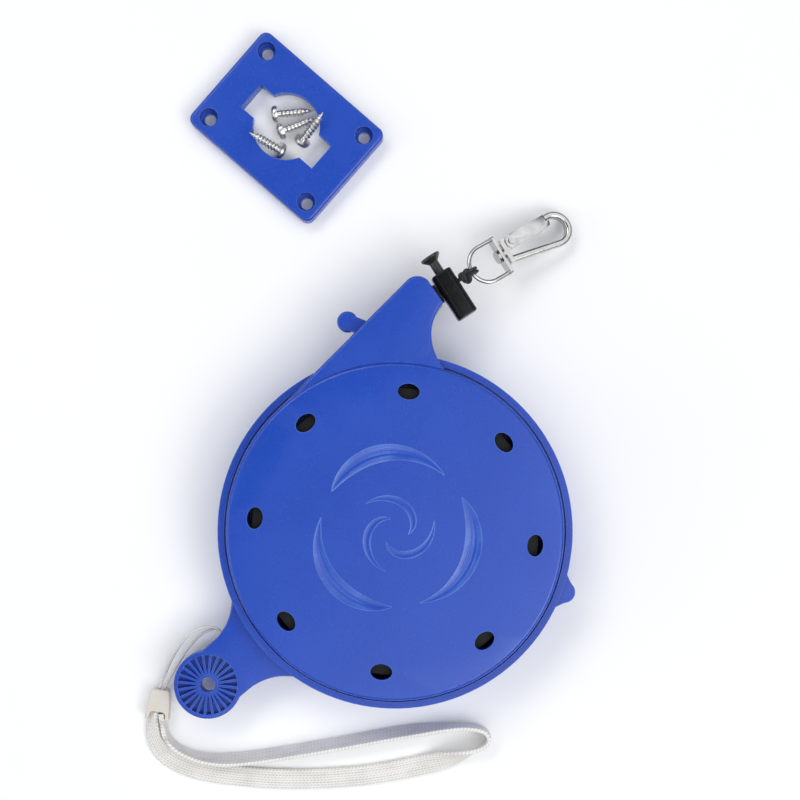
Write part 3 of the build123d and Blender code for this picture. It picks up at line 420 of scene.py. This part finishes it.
def spline_line(name, route, step):
    """Evenly spaced points on the NURBS curve whose control points are the route."""
    curve = bpy.data.curves.new(name, "CURVE")
    curve.dimensions = "3D"
    spline = curve.splines.new("NURBS")
    spline.points.add(len(route) - 1)
    for point, place in zip(spline.points, route):
        point.co = (*place, 1.0)
    spline.order_u = 3
    spline.use_endpoint_u = True
    spline.resolution_u = 24
    holder = bpy.data.objects.new(name, curve)
    scene.collection.objects.link(holder)
    bpy.context.view_layer.update()
    mesh = bpy.data.meshes.new_from_object(holder.evaluated_get(bpy.context.evaluated_depsgraph_get()))
    raw = np.array([vertex.co for vertex in mesh.vertices], float)
    bpy.data.objects.remove(holder)
    bpy.data.curves.remove(curve)
    run = np.concatenate([[0.0], np.cumsum(np.linalg.norm(np.diff(raw, axis=0), axis=1))])
    along = np.linspace(0.0, run[-1], max(2, round(run[-1] / step)) + 1)
    points = np.stack([np.interp(along, run, raw[:, axis]) for axis in range(3)], axis=1)
    return points, along


def unit(vectors):
    return vectors / np.linalg.norm(vectors, axis=-1, keepdims=True)


def tangents(points, closed=False):
    if closed:
        return unit(np.roll(points, -1, axis=0) - np.roll(points, 1, axis=0))
    return unit(np.gradient(points, axis=0))


def carried_sides(forward):
    """A side direction carried along a line without twist."""
    side = np.cross(forward[0], (0.0, 0.0, 1.0))
    if np.linalg.norm(side) < 0.2:
        side = np.cross(forward[0], (1.0, 0.0, 0.0))
    sides = []
    for direction in forward:
        side = side - direction * (side @ direction)
        side = side / np.linalg.norm(side)
        sides.append(side)
    return np.array(sides)


def braided_tube(name, points, along, radius, around=24, strands=8, pick=2.2 * MM, depth=0.10, closed=False):
    """A round braid: two sets of strands winding opposite ways over and under each other."""
    forward = tangents(points, closed)
    side = carried_sides(forward)
    up = np.cross(side, forward)
    turn = np.linspace(0, 2 * math.pi, around, endpoint=False)[None, :]
    run = along[:, None]
    half = strands / 2
    first = np.abs(np.sin(half * turn + math.pi * run * half / pick / 2))
    second = np.abs(np.sin(half * turn - math.pi * run * half / pick / 2))
    over = 0.5 + 0.5 * np.sin(math.pi * run * strands / pick / 2)
    # relief also sets the painted shade of the grooves in the thread material
    relief = np.maximum(first * (0.6 + 0.4 * over), second * (1.0 - 0.4 * over))
    reach = radius * (1 - depth + depth * relief)
    rings = (
        points[:, None, :]
        + (reach * np.cos(turn))[..., None] * side[:, None, :]
        + (reach * np.sin(turn))[..., None] * up[:, None, :]
    )
    return skin(name, rings, closed, relief)


def smooth_step(value, low, high):
    share = np.clip((value - low) / (high - low), 0, 1)
    return share * share * (3 - 2 * share)


# ---------------------------------------------------------------- wrist strap: thin loop, clip and flat braid
STRAND_STEP = 0.25 * MM    # between the rings of points along a strand
BAND_STEP = 0.32 * MM      # and along the braid
BAND_COLUMNS = 8           # rows of stitches across the braid
STITCH = 1.25 * MM         # length of one stitch
PINCH_LEN = 14 * MM        # over which the braid narrows into the clip
PINCH_SHARE = 0.42         # of its width that it loses there
BAND_OFF_FLOOR = 0.12 * MM
CLIP_LEN, CLIP_W, CLIP_T = 10.6 * MM, 8.4 * MM, 5.0 * MM
CLIP_HEADING = math.radians(-98.1)
CLIP_TAPER = 0.22          # share of its thickness that the clip loses towards the thin loop
CLIP_ROUND = 0.7 * MM
CLIP_HALF = (              # half its outline, as shares of its length and width
    (-0.50, 0.30), (-0.47, 0.36), (-0.30, 0.41), (0.10, 0.47),
    (0.50, 0.50), (0.50, 0.36), (0.30, 0.33), (0.24, 0.22),
)


def metres(route):
    return [tuple(value * MM for value in point) for point in route]


def make_strand(name, route, node):
    points, along = spline_line(name, metres(route), STRAND_STEP)
    mesh = braided_tube(name, points, along, STRAND_R, around=14, strands=4, pick=1.1 * MM, depth=0.14)
    piece = add_piece(name, mesh, "white_cord", "case")
    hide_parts(node)
    return piece, points


def braid_height(across, run):
    """Height, from 0 to 1, of a flat braid's rows of small V stitches."""
    column = across / (BAND_W / BAND_COLUMNS) + 100.5  # kept above zero, so that the rows alternate evenly
    within = (column % 1.0) * 2 - 1
    turn_about = np.where(np.floor(column) % 2 > 0.5, 1.0, -1.0)
    phase = run / STITCH + turn_about * within * 0.42
    stitch = 0.5 + 0.5 * np.cos(2 * math.pi * phase)
    return np.sqrt(np.clip(np.cos(within * math.pi / 2), 0, 1)) * (0.35 + 0.65 * np.sqrt(stitch))


def make_band():
    """The flat braid: on its face along the near side, on edge round the fold and most of the way back."""
    points, along = spline_line("band_line", metres(BAND), BAND_STEP)
    share = along / along[-1]
    pinch_low = smooth_step(along, 0.0, PINCH_LEN)
    pinch_high = smooth_step(along[-1] - along, 0.0, PINCH_LEN)
    width = BAND_W * (1 - PINCH_SHARE + PINCH_SHARE * pinch_low * pinch_high)
    thick = BAND_T * (1.25 - 0.25 * pinch_low * pinch_high)
    tilt = np.radians(
        38 * (1 - smooth_step(share, 0.0, 0.10))
        + 88 * smooth_step(share, 0.41, 0.51)
        - 22 * smooth_step(share, 0.54, 0.64)
        + 20 * smooth_step(share, 0.86, 0.97)
    )
    stand = np.abs(np.sin(tilt)) * width / 2 + np.abs(np.cos(tilt)) * thick / 2 + BAND_OFF_FLOOR
    points[:, 2] = stand
    forward = tangents(points)
    outward = unit(np.cross(forward, (0.0, 0.0, 1.0)))
    upward = np.cross(outward, forward)
    face = np.cos(tilt)[:, None] * upward + np.sin(tilt)[:, None] * outward
    wide = np.cos(tilt)[:, None] * outward - np.sin(tilt)[:, None] * upward
    face_run = np.linspace(0.90, -0.90, 32)
    edge_turn = np.radians((112, 135, 158, 180, 202, 225, 248))
    edge_flat, edge_deep = -0.90 + 0.10 * np.cos(edge_turn), np.sin(edge_turn)
    flat = np.concatenate([face_run, edge_flat, -face_run, -edge_flat])
    deep = np.concatenate([np.ones(32), edge_deep, -np.ones(32), -edge_deep])
    across = flat[None, :] * width[:, None] / 2
    # relief also sets the painted shade of the stitches' grooves in the braid material
    relief = braid_height(across, along[:, None] + 0.3 * BAND_T * deep[None, :])
    lift = 1 + 0.22 * (relief - 0.7) * np.abs(deep)[None, :]
    rings = (
        points[:, None, :]
        + across[..., None] * wide[:, None, :]
        + (deep[None, :] * lift * thick[:, None] / 2)[..., None] * face[:, None, :]
    )
    piece = add_piece("strap_braid", skin("strap_braid", rings, relief=relief), "white_braid", "case")
    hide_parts("strap_band")
    return piece, points


def make_clip():
    """Moulded clip on the braid's two ends: narrow at the thin loop, with a notch between two prongs."""
    low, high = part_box("strap_clip")
    centre = (low + high) / 2
    outline = [*CLIP_HALF, *((x, -y) for x, y in reversed(CLIP_HALF))]
    shape = bmesh.new()
    corners = [shape.verts.new((x * CLIP_LEN, y * CLIP_W, -CLIP_T / 2)) for x, y in outline]
    bottom = shape.faces.new(corners)
    raised = bmesh.ops.extrude_face_region(shape, geom=[bottom])
    lifted = [part for part in raised["geom"] if isinstance(part, bmesh.types.BMVert)]
    bmesh.ops.translate(shape, vec=(0, 0, CLIP_T), verts=lifted)
    for vertex in shape.verts:
        vertex.co.z *= 1 - CLIP_TAPER * (0.5 - vertex.co.x / CLIP_LEN)
    bmesh.ops.recalc_face_normals(shape, faces=shape.faces)
    bmesh.ops.transform(shape, matrix=Matrix.Rotation(CLIP_HEADING, 4, "Z"), verts=shape.verts)
    bmesh.ops.translate(shape, vec=centre, verts=shape.verts)
    mesh = bpy.data.meshes.new("strap_clip_moulded")
    shape.to_mesh(mesh)
    shape.free()
    piece = add_piece("strap_clip_moulded", mesh, "white_plastic", "case")
    rounding = piece.modifiers.new("rounding", "BEVEL")
    rounding.width = CLIP_ROUND
    rounding.segments = 4
    rounding.limit_method = "ANGLE"
    rounding.harden_normals = True
    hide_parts("strap_clip")
    return piece


strand_a, line_a = make_strand("strap_strand_a", STRAND_A, "strap_cord_a")
strand_b, line_b = make_strand("strap_strand_b", STRAND_B, "strap_cord_b")
band, line_band = make_band()
clip = make_clip()

# ---------------------------------------------------------------- line's end, knot and loop on the ring
LINE_STEP = 0.12 * MM      # between the rings of points along the line's end
INSIDE_GUIDE = 3.0 * MM    # how far inside the guide's centre the line's end starts
WRAP_BACK = 1.0 * MM       # from the knot's centre to the wrap, towards the lock
LOOP_APART = 0.62 * MM     # each of the loop's two turns from the ring's middle
knot_centre = ring_centre - line_dir * KNOT_TO_RING
line_start = guide_centre - line_dir * INSIDE_GUIDE


def make_line_end():
    run = (knot_centre - line_start).length
    count = round(run / LINE_STEP)
    along = np.linspace(0, run, count)
    points = np.array(line_start)[None, :] + along[:, None] * np.array(line_dir)[None, :]
    piece = add_piece("line_braid", braided_tube("line_braid", points, along, LINE_R), "black_braid")
    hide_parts("line_end")
    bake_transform(piece)


def closed_line(place, count):
    turn = np.linspace(0, 2 * math.pi, count, endpoint=False)
    points = place(turn)
    steps = np.linalg.norm(np.diff(points, axis=0, append=points[:1]), axis=1)
    return points, np.concatenate([[0.0], np.cumsum(steps)[:-1]])


def make_knot():
    """A tight overhand knot, a wrap round the line beside it, and the loop that holds the ring."""
    along_x = np.array(line_dir)
    across_y = np.array(Vector((0, 0, 1)).cross(line_dir))
    up_z = np.array((0.0, 0.0, 1.0))
    centre = np.array(knot_centre)

    def trefoil(turn):
        reach = (KNOT_R - LINE_R * 0.55) / 3
        x = reach * (np.sin(turn) + 2 * np.sin(2 * turn))
        y = reach * 1.12 * (np.cos(turn) - 2 * np.cos(2 * turn))
        z = -KNOT_R * 0.42 * np.sin(3 * turn)
        return centre + x[:, None] * along_x + y[:, None] * across_y + z[:, None] * up_z

    def wrap(turn):
        lean = 0.35 * LINE_R * np.sin(turn)
        at = centre - along_x * WRAP_BACK
        return (
            at
            + lean[:, None] * along_x
            + 1.75 * LINE_R * (np.cos(turn)[:, None] * across_y + np.sin(turn)[:, None] * up_z)
        )

    axis = np.array(ring_axis)
    level = np.array(hook_axis)
    rise = np.cross(axis, level)

    def loop(offset):
        def place(turn):
            return (
                np.array(ring_centre)
                + offset * axis
                + LOOP_R * (np.cos(turn)[:, None] * level + np.sin(turn)[:, None] * rise)
            )
        return place

    shapes = (
        (trefoil, 220, 0.94 * LINE_R),
        (wrap, 90, 0.9 * LINE_R),
        (loop(LOOP_APART), 100, 0.72 * LINE_R),
        (loop(-LOOP_APART), 100, 0.72 * LINE_R),
    )
    meshes = []
    for i, (place, count, radius) in enumerate(shapes):
        points, along = closed_line(place, count)
        meshes.append(braided_tube(f"knot_{i}", points, along, radius, around=18, closed=True))
    piece = add_piece("line_knot_tied", joined("line_knot_tied", meshes), "black_braid", "line_tip")
    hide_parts("line_knot")


make_line_end()
make_knot()


# ---------------------------------------------------------------- wall screws with threads and cross slots
# How each screw lies: its place from the plate's centre, heading and tilt in degrees, and its head's height
SCREW_LIES = (
    ((-5.59, 4.73), 6.5, -3.7, 3.43),
    ((-3.35, -1.68), 21.6, -4.0, 3.22),
    ((4.65, -5.63), 47.8, 30.4, 2.92),
    ((-1.31, -8.58), 154.9, 33.5, 2.85),
)
SCREW_LEN = 15.0 * MM
HEAD_H = 2.2 * MM
HEAD_R = 3.0 * MM
CREST_R = 1.68 * MM
ROOT_R = 1.15 * MM
PITCH = 1.35 * MM
POINT_LEN = 4.0 * MM
SCREW_STEP = 0.14 * MM     # between the rings of points along a screw
SLOT_REACH, SLOT_W, SLOT_DEPTH = 3.4 * MM, 0.8 * MM, 1.3 * MM
HEAD_SHAPE = (             # shares of the head's height and radius, from its top
    (0.02, 0.30), (0.04, 0.60), (0.12, 0.80), (0.26, 0.93),
    (0.45, 0.985), (0.75, 1.0), (0.97, 0.98), (1.0, 0.93),
)


def screw_rings():
    around = 28
    turn = np.linspace(0, 2 * math.pi, around, endpoint=False)
    rings = [(share * HEAD_H, np.full(around, out * HEAD_R)) for share, out in HEAD_SHAPE]
    for along in np.arange(HEAD_H, SCREW_LEN, SCREW_STEP):
        saw = (along / PITCH - turn / (2 * math.pi)) % 1.0
        crest = np.clip(1 - np.abs(saw - 0.5) / 0.22, 0, 1)
        start = smooth_step(along, HEAD_H + 0.6 * MM, HEAD_H + 1.6 * MM)
        reach = ROOT_R + (CREST_R - ROOT_R) * crest * start
        taper = min(1.0, (SCREW_LEN - along) / POINT_LEN + 0.03)
        rings.append((along, reach * taper))
    return np.array([
        np.stack([np.full(around, at), reach * np.cos(turn), reach * np.sin(turn)], axis=1)
        for at, reach in rings
    ])


def cross_slot(name, reach, wide, depth):
    """Cutter for a cross recess in a head whose top is at x = 0."""
    shape = bmesh.new()
    for size in ((wide, reach), (reach, wide)):
        block = bmesh.ops.create_cube(shape, size=1.0)["verts"]
        bmesh.ops.scale(shape, vec=(2 * depth, *size), verts=block)
    mesh = bpy.data.meshes.new(name)
    shape.to_mesh(mesh)
    shape.free()
    return mesh


def make_wall_screws():
    body = bpy.data.objects.new("screw_body", skin("screw_body", screw_rings()))
    cutter = bpy.data.objects.new("screw_slot", cross_slot("screw_slot", SLOT_REACH, SLOT_W, SLOT_DEPTH))
    for item in (body, cutter):
        scene.collection.objects.link(item)
    cut = body.modifiers.new("slot", "BOOLEAN")
    cut.object = cutter
    cut.operation = "DIFFERENCE"
    cut.solver = "EXACT"
    cut.use_self = True
    bpy.context.view_layer.update()
    master = bpy.data.meshes.new_from_object(body.evaluated_get(bpy.context.evaluated_depsgraph_get()))
    for item in (body, cutter):
        bpy.data.objects.remove(item)
    copies = []
    for (x, y), heading, tilt, height in SCREW_LIES:
        mesh = master.copy()
        turn = Matrix.Rotation(math.radians(heading), 4, "Z") @ Matrix.Rotation(-math.radians(tilt), 4, "Y")
        spin = Matrix.Rotation(0.9 * heading, 4, "X")  # any turn will do, if each screw's is another
        place = Matrix.Translation((plate_centre.x + x * MM, plate_centre.y + y * MM, height * MM))
        mesh.transform(place @ turn @ spin)
        copies.append(mesh)
    mesh = joined("threaded_wall_screws", copies)
    piece = add_piece("threaded_wall_screws", mesh, "zinc_steel", "plate_screws")
    mesh.set_sharp_from_angle(angle=math.radians(40))
    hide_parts("wall_screws")


make_wall_screws()

# ---------------------------------------------------------------- faint relief on the cover
RELIEF_H = 0.17 * MM
RIDGE_W = 0.34 * MM
CRESCENT_R = 25.6 * MM
CRESCENT_BOW = 1.6 * MM     # how far a crescent's middle bows out
CRESCENT_HALF = 4.0 * MM    # half its width
CRESCENT_SPAN = 100         # degrees
CRESCENT_START = 148        # where the first one starts, in degrees
WAVE_HALF = 0.22 * MM       # half the width of a line along a crescent
SWIRL_R = (4.5, 14.0)       # inner and outer end of a swirl's stroke, in mm
SWIRL_HALF = 1.5 * MM
SWIRL_SPAN = 150            # degrees
SWIRL_BACK = 40             # a stroke's start behind its crescent's, in degrees
STROKE_POINTS = 50


def stroke_mesh(name, points, halves, middle=0.45, height=RELIEF_H):
    """A raised stroke: ridges along both sides and a lower middle, tapering to nothing at its ends."""
    forward = unit(np.gradient(points, axis=0))
    left = np.stack([-forward[:, 1], forward[:, 0]], axis=1)
    ridge = np.minimum(RIDGE_W, halves * 0.45)[:, None]
    half = halves[:, None]
    rise = np.clip(halves / (1.2 * RIDGE_W), 0, 1)[:, None] * height
    offs = np.concatenate(
        [-half, -half + ridge * 0.35, -half + ridge * 0.7, -half + ridge, half - ridge, half - ridge * 0.7,
         half - ridge * 0.35, half, half, -half], axis=1
    )
    tops = np.array([0, 0.85, 0.9, middle, middle, 0.9, 0.85, 0, -0.4, -0.4])[None, :] * rise
    flat = points[:, None, :] + offs[..., None] * left[:, None, :]
    rings = np.concatenate([flat, (tops + disc_face)[..., None]], axis=2)
    # ridges get relief 1, which the plastic paints lighter as a painted highlight
    relief = np.broadcast_to(np.array([0, 1, 1, 0, 0, 1, 1, 0, 0, 0.0])[None, :], offs.shape)
    return skin(name, rings, relief=relief)


def arc_points(radii, angles):
    angles = np.radians(angles)
    return np.stack([radii * np.cos(angles), radii * np.sin(angles)], axis=1)


def make_relief():
    """Three plain crescents with lines along them, round a swirl of three strokes."""
    share = np.linspace(0.0, 1.0, 70)
    body = np.clip(np.sin(math.pi * share) ** 0.75 * (1 - 0.45 * share), 0.002, 1)
    meshes = []
    for i in range(3):
        start = CRESCENT_START - 120 * i
        bow = CRESCENT_R + CRESCENT_BOW * np.sin(math.pi * share)
        arc = arc_points(bow, start - CRESCENT_SPAN * share)
        meshes.append(stroke_mesh(f"crescent_{i}", arc, CRESCENT_HALF * body))
        for j, offset in enumerate((-0.45, 0.0, 0.45)):
            inner = share * 0.62 + 0.16
            width = np.clip(np.sin(math.pi * inner) ** 0.75 * (1 - 0.45 * inner), 0, 1)
            radii = CRESCENT_R + CRESCENT_BOW * np.sin(math.pi * inner) + offset * CRESCENT_HALF * width
            thin = np.clip(np.sin(math.pi * share), 0.01, 1) * WAVE_HALF
            arc = arc_points(radii, start - CRESCENT_SPAN * inner)
            meshes.append(stroke_mesh(f"wave_{i}_{j}", arc, thin, 1.0))
        turn = np.linspace(0, SWIRL_SPAN, STROKE_POINTS)
        radii = np.linspace(*SWIRL_R, STROKE_POINTS) * MM
        swell = np.clip(np.sin(math.pi * np.linspace(0, 1, STROKE_POINTS)) ** 0.7, 0.01, 1) * SWIRL_HALF
        meshes.append(stroke_mesh(f"swirl_{i}", arc_points(radii, start - SWIRL_BACK + turn), swell))
    add_piece("cover_relief", joined("cover_relief", meshes), "blue_plastic", "case")


make_relief()


# ---------------------------------------------------------------- the CAD nodes that show
def finish_node(piece, slot):
    """Welds and smooths a node's facets for shading, and gives it its material."""
    weld = piece.modifiers.new("weld", "WELD")
    weld.merge_threshold = 0.001 * MM
    split = piece.modifiers.new("split", "EDGE_SPLIT")
    split.split_angle = math.radians(30)
    piece.data.shade_smooth()
    piece.data.materials.clear()
    piece.data.materials.append(made[slot])


for row in frame["record"]["subparts"]:
    finish_node(frame["nodes"][row["node"]], row["material_slot"])

GATE_ROUND = 0.28 * MM
pressed = frame["nodes"]["hook_gate"].modifiers.new("pressed_edges", "BEVEL")
pressed.width = GATE_ROUND
pressed.segments = 3
pressed.angle_limit = math.radians(45)
frame["nodes"]["hook_gate"].modifiers.move(2, 1)  # before the edges are split

# ---------------------------------------------------------------- floor
FLOOR = 3.0                # half its side
FLOOR_DOWN = 0.05 * MM     # below the object, so that no two faces share a plane
floor_material, floor_tree, floor_shader = surface_of("pale_floor", Roughness=0.9, Specular_IOR_Level=0.1)
floor_shade = levels(floor_tree, noise(floor_tree, place_of(floor_tree), 0.25, 2.0), 0.3, 0.7)
floor_colour = between(floor_tree, floor_shade, (0.90, 0.90, 0.90), (0.93, 0.93, 0.93))
floor_tree.links.new(floor_colour, floor_shader.inputs["Base Color"])
floor_mesh = bpy.data.meshes.new("floor")
floor_corners = [(x * FLOOR, y * FLOOR, -FLOOR_DOWN) for x, y in ((-1, -1), (1, -1), (1, 1), (-1, 1))]
floor_mesh.from_pydata(floor_corners, [], [(0, 1, 2, 3)])
floor_mesh.materials.append(floor_material)
floor = bpy.data.objects.new("floor", floor_mesh)
scene.collection.objects.link(floor)
